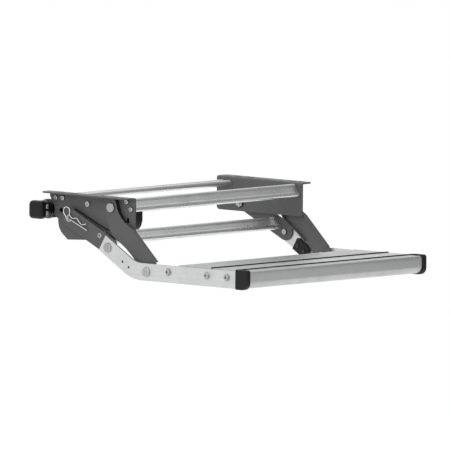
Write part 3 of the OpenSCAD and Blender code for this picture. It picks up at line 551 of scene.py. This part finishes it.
class STEP_OT_beads(bpy.types.Operator):
    """Rubber beads in the two joints between the tread's sections"""
    bl_idname = "step.beads"
    bl_label = "Rubber beads"
    # In metres: the bead's foot, the gap under its head and at its ends, and its shift from the plank's edge
    foot_width = 0.0019
    foot_depth = 0.0022
    head_gap = 0.00005
    end_gap = 0.001
    rear_shift = 0.0010
    front_shift = 0.0023
    rounding_share = 0.7

    def execute(self, context):
        rear_low, rear_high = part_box("tread_rear_plank")
        middle_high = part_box("tread_middle_plank")[1]
        nose_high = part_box("tread_nose")[1]
        rear_y = (middle_high.y + rear_low.y) / 2 + self.rear_shift
        self.bead("bead_rear", rear_low.x, rear_high.x, rear_y, rear_high.z)
        self.bead("bead_front", rear_low.x, rear_high.x, nose_high.y + self.front_shift, middle_high.z)
        return {"FINISHED"}

    def bead(self, name, x0, x1, y, top):
        """A foot in the groove under a rounded head that lies on the planks' edges."""
        bm = bmesh.new()
        low, high = top - self.foot_depth, top + sizes().bead_rise
        for width, z0, z1 in ((self.foot_width, low, top), (sizes().bead, top + self.head_gap, high)):
            cuboid(bm, ((x0 + x1) / 2, y, (z0 + z1) / 2), (x1 - x0 - self.end_gap, width, z1 - z0))
        upper = [e for e in bm.edges if all(v.co.z > high - 1e-5 for v in e.verts)]
        bevelled(bm, upper, sizes().bead_rise * self.rounding_share, 3)
        piece(name, bm, "step", "rubber")


def wire(points, radius, sides=4):
    """A round wire whose middle follows the points smoothly."""
    curve = bpy.data.curves.new("path", "CURVE")
    curve.dimensions = "3D"
    curve.bevel_depth = radius
    curve.bevel_resolution = sides
    curve.use_fill_caps = True
    spline = curve.splines.new("NURBS")
    spline.points.add(len(points) - 1)
    for target, point in zip(spline.points, points):
        target.co = (*point, 1)
    spline.use_endpoint_u = True
    spline.order_u = 3
    spline.resolution_u = 6
    holder = bpy.data.objects.new("path", curve)
    bpy.context.scene.collection.objects.link(holder)
    shape = holder.evaluated_get(bpy.context.evaluated_depsgraph_get())
    bm = bmesh.new()
    bm.from_mesh(shape.to_mesh())
    bmesh.ops.remove_doubles(bm, verts=bm.verts, dist=1e-6)
    bmesh.ops.recalc_face_normals(bm, faces=bm.faces)
    shape.to_mesh_clear()
    bpy.data.objects.remove(holder)
    bpy.data.curves.remove(curve)
    return bm


class STEP_OT_clip(bpy.types.Operator):
    """Retaining clip of the release pin: a straight leg through the pin, a ring and a waved leg"""
    bl_idname = "step.clip"
    bl_label = "Retaining clip"
    # Lengths are in millimetres, and points are [along the straight leg, above it]
    wave = ((0.6, 8.6), (3.8, 6.4), (9, 4.9), (14.5, 6.2), (19.5, 10.6), (24.5, 10.2), (30, 6.6), (38.3, 4.2),
            (45, 7), (51, 12.2))
    drop = math.radians(22.2)
    leg = 58.0
    ring = 9.0

    def execute(self, context):
        low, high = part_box("retaining_clip")
        middle = (-self.ring - 0.3, self.ring + 2.8)
        turns = [math.radians(a) for a in range(-100, -341, -20)]
        path = [(self.leg, 0), (self.leg * 0.5, 0), (6, 0), (-3, 0), (-7, 0.4)]
        path += [(middle[0] + self.ring * math.cos(a), middle[1] + self.ring * math.sin(a)) for a in turns]
        path += self.wave
        pivot = JOINT_AT["rear_arm_swing"]
        points, x = [], (low.x + high.x) / 2
        for along, above in path:
            ahead = along * math.cos(self.drop) + above * math.sin(self.drop)
            rise = above * math.cos(self.drop) - along * math.sin(self.drop)
            points.append(Vector((x, pivot.y - ahead / MM_PER_M, pivot.z + rise / MM_PER_M)))
        piece("retaining_clip_wire", wire(points, sizes().wire / 2), BODY_OF["retaining_clip"], "wire",
              ["retaining_clip"])
        return {"FINISHED"}


class STEP_OT_strips(bpy.types.Operator):
    """Painted shadows in black: a flat sheet on the left plate along the rear arm's upper edge, and sheets over
    the front arms' flanges above the plates
    """
    bl_idname = "step.strips"
    bl_label = "Black strips"
    # Points are [y, z] in millimetres
    line = ((48.6, -33.7), (6.4, -50.8), (-33, -68.1), (-49, -72.5))
    thickness = 0.00014
    stand_off = 0.0002
    # The edging stops this far behind the pivot and leaves out faces that lean more than this
    past_pivot = 0.004
    most_lean = 0.2

    def execute(self, context):
        # The strip is painted shadow: a black sheet, thinner than the gap, where the gap between the rear arm and
        # the plate lies in shade.
        bm = wire([Vector((0, y / MM_PER_M, z / MM_PER_M)) for y, z in self.line], sizes().strip / 2, 2)
        bmesh.ops.scale(bm, vec=(self.thickness / sizes().strip, 1, 1), verts=bm.verts)
        bmesh.ops.translate(bm, vec=(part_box("front_arm_left")[1].x + self.stand_off, 0, 0), verts=bm.verts)
        piece("painted_shadow_rear_arm", bm, "frame", "rubber")
        for node in ("front_arm_left", "front_arm_right"):
            self.painted_flange_shadow(node)
        return {"FINISHED"}

    def painted_flange_shadow(self, node):
        """Painted shadow: the flange's outer face above the plate's lower edge, thickened outwards, in black where
        the gap behind the flange lies in shade.
        """
        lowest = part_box("side_plate_right")[0].z
        pivot = JOINT_AT["front_arm_swing"]
        bm = merged(node)
        bm.normal_update()

        def kept(face):
            middle = face.calc_center_median()
            turned_out = face.normal.dot(middle - pivot) > 0 and abs(face.normal.x) < self.most_lean
            in_reach = middle.y < pivot.y + self.past_pivot and middle.z > lowest
            return turned_out and in_reach and face.normal.z > -self.most_lean

        bmesh.ops.delete(bm, geom=[f for f in bm.faces if not kept(f)], context="FACES")
        bmesh.ops.solidify(bm, geom=bm.faces[:], thickness=-2 * self.thickness)
        bmesh.ops.recalc_face_normals(bm, faces=bm.faces)
        # Painted shadow in the black rubber finish.
        piece(node + "_edging", bm, BODY_OF[node], "rubber")


# The photo's view, parallel and slightly from above; lengths in metres
HEADING = math.radians(47.4)
TILT = math.radians(5.2)
ROLL = math.radians(0.45)
VIEW_WIDTH = 0.9317
LOOK_RIGHT, LOOK_DOWN = 0.1009, 0.0787
CAMERA_DISTANCE = 3


class STEP_OT_stage(bpy.types.Operator):
    """Pale floor, grey card, soft studio light and the camera"""
    bl_idname = "step.stage"
    bl_label = "Stage"
    floor_spot, floor_size = (0, 0, -0.62), (3.2, 3.2, 1)
    floor_grey, floor_glow = 0.88, 0.45
    card_spot, card_size = (2.2, -1.1, 0.8), (2.8, 3.8, 1)
    card_grey = 0.12
    lamp_aim = (0, -0.15, -0.1)
    lamp_size = 3.4

    def execute(self, context):
        scene = context.scene
        scene.view_settings.view_transform = "Standard"
        self.camera(scene)
        self.floor(scene)
        self.grey_card(scene)
        self.world(scene)
        self.lamp(scene, "key_lamp", (-2.4, -0.9, 1.5), 30.0)
        self.lamp(scene, "top_lamp", (0.3, 0.1, 2.6), 20.0)
        return {"FINISHED"}

    def camera(self, scene):
        level_part = math.cos(TILT)
        ahead = Vector((math.sin(HEADING) * level_part, math.cos(HEADING) * level_part, -math.sin(TILT)))
        right = Vector((math.cos(HEADING), -math.sin(HEADING), 0))
        up = right.cross(ahead)
        data = bpy.data.cameras.new("camera")
        data.type = "ORTHO"
        data.ortho_scale = VIEW_WIDTH
        data.clip_end = 20
        camera = bpy.data.objects.new("camera", data)
        scene.collection.objects.link(camera)
        camera.location = right * LOOK_RIGHT - up * LOOK_DOWN - ahead * CAMERA_DISTANCE
        level = ahead.to_track_quat("-Z", "Y")
        camera.rotation_euler = (level @ Quaternion((0, 0, 1), ROLL)).to_euler()
        scene.camera = camera

    def board(self, scene, name, place, grey):
        """A flat square in a plain grey: the board, and the tree and shader of its material."""
        bm = bmesh.new()
        bmesh.ops.create_grid(bm, x_segments=1, y_segments=1, size=0.5, matrix=place)
        mesh = bpy.data.meshes.new(name)
        bm.to_mesh(mesh)
        bm.free()
        board = bpy.data.objects.new(name, mesh)
        scene.collection.objects.link(board)
        material = bpy.data.materials.new(name)
        material.use_nodes = True
        shader = material.node_tree.nodes["Principled BSDF"]
        shader.inputs["Base Color"].default_value = (grey, grey, grey, 1)
        shader.inputs["Roughness"].default_value = 0.9
        shader.inputs["Emission Color"].default_value = (1, 1, 1, 1)
        mesh.materials.append(material)
        return board, material.node_tree, shader

    def floor(self, scene):
        place = Matrix.LocRotScale(Vector(self.floor_spot), None, Vector(self.floor_size))
        _, tree, shader = self.board(scene, "pale_floor", place, self.floor_grey)
        path = tree.nodes.new("ShaderNodeLightPath").outputs
        seen = combined(tree, "MAXIMUM", path["Is Camera Ray"], path["Is Glossy Ray"])
        tree.links.new(ramp(tree, seen, 0, 1, 0, self.floor_glow), shader.inputs["Emission Strength"])

    def grey_card(self, scene):
        """Stands at the right, out of the camera's sight, and gives the bare metal its darker tones."""
        upright = Matrix.Rotation(QUARTER_TURN, 3, "Y").to_quaternion()
        place = Matrix.LocRotScale(Vector(self.card_spot), upright, Vector(self.card_size))
        card, _, shader = self.board(scene, "grey_card", place, self.card_grey)
        shader.inputs["Emission Strength"].default_value = self.card_grey
        card.visible_camera = False

    def world(self, scene):
        """White to the camera and in reflections; as light, a room brighter on the left and behind."""
        world = bpy.data.worlds.new("studio")
        world.use_nodes = True
        scene.world = world
        tree = world.node_tree
        back = tree.nodes["Background"]
        back.inputs["Color"].default_value = (1, 1, 1, 1)
        way = tree.nodes.new("ShaderNodeTexCoord").outputs["Generated"]
        left_side = self.towards(tree, way, (-0.34, 0.20, 0.05), -0.4, 0.4, 0.30, 0.96)
        backdrop = self.towards(tree, way, (math.sin(HEADING), math.cos(HEADING), 0), 0.6, 0.85, 0, 1.0)
        room = combined(tree, "ADD", left_side, backdrop)
        path = tree.nodes.new("ShaderNodeLightPath").outputs
        seen = combined(tree, "MAXIMUM", path["Is Camera Ray"], path["Is Transmission Ray"])
        seen = combined(tree, "MAXIMUM", seen, path["Is Glossy Ray"])
        pick = tree.nodes.new("ShaderNodeMix")
        tree.links.new(seen, pick.inputs["Factor"])
        tree.links.new(room, pick.inputs["A"])
        pick.inputs["B"].default_value = 1.0
        tree.links.new(pick.outputs["Result"], back.inputs["Strength"])

    def towards(self, tree, way, aim, low, high, dark, bright):
        """Grows from dark to bright as the way turns to the aim."""
        lean = tree.nodes.new("ShaderNodeVectorMath")
        lean.operation = "DOT_PRODUCT"
        lean.inputs[1].default_value = aim
        tree.links.new(way, lean.inputs[0])
        return ramp(tree, lean.outputs["Value"], low, high, dark, bright)

    def lamp(self, scene, name, place, power):
        data = bpy.data.lights.new(name, "AREA")
        data.shape = "DISK"
        data.size = self.lamp_size
        data.energy = power
        lamp = bpy.data.objects.new(name, data)
        scene.collection.objects.link(lamp)
        lamp.location = place
        lamp.rotation_euler = (Vector(self.lamp_aim) - Vector(place)).to_track_quat("-Z", "Y").to_euler()


class STEP_PT_panel(bpy.types.Panel):
    """Lists the pieces and the stage"""
    bl_label = "Caravan step"
    bl_idname = "STEP_PT_panel"
    bl_space_type = "VIEW_3D"
    bl_region_type = "UI"
    bl_category = "Step"

    def draw(self, context):
        for group in (context.scene.step_sizes, context.scene.step_colours):
            box = self.layout.box()
            for name in group.__annotations__:
                box.prop(group, name)
        for operator in OPERATORS:
            self.layout.operator(operator.bl_idname)


OPERATORS = (STEP_OT_plates, STEP_OT_cross_members, STEP_OT_arms, STEP_OT_fasteners, STEP_OT_bushes,
             STEP_OT_drive, STEP_OT_rails, STEP_OT_tread, STEP_OT_beads, STEP_OT_clip, STEP_OT_strips,
             STEP_OT_stage)
CLASSES = (StepSizes, StepColours, *OPERATORS, STEP_PT_panel)


def register():
    for cls in CLASSES:
        bpy.utils.register_class(cls)
    bpy.types.Scene.step_sizes = PointerProperty(type=StepSizes)
    bpy.types.Scene.step_colours = PointerProperty(type=StepColours)


def unregister():
    del bpy.types.Scene.step_colours
    del bpy.types.Scene.step_sizes
    for cls in reversed(CLASSES):
        bpy.utils.unregister_class(cls)


def main():
    register()
    make_finishes()
    for operator in OPERATORS:
        getattr(bpy.ops.step, operator.bl_idname.split(".")[1])()


if __name__ == "__main__":
    main()
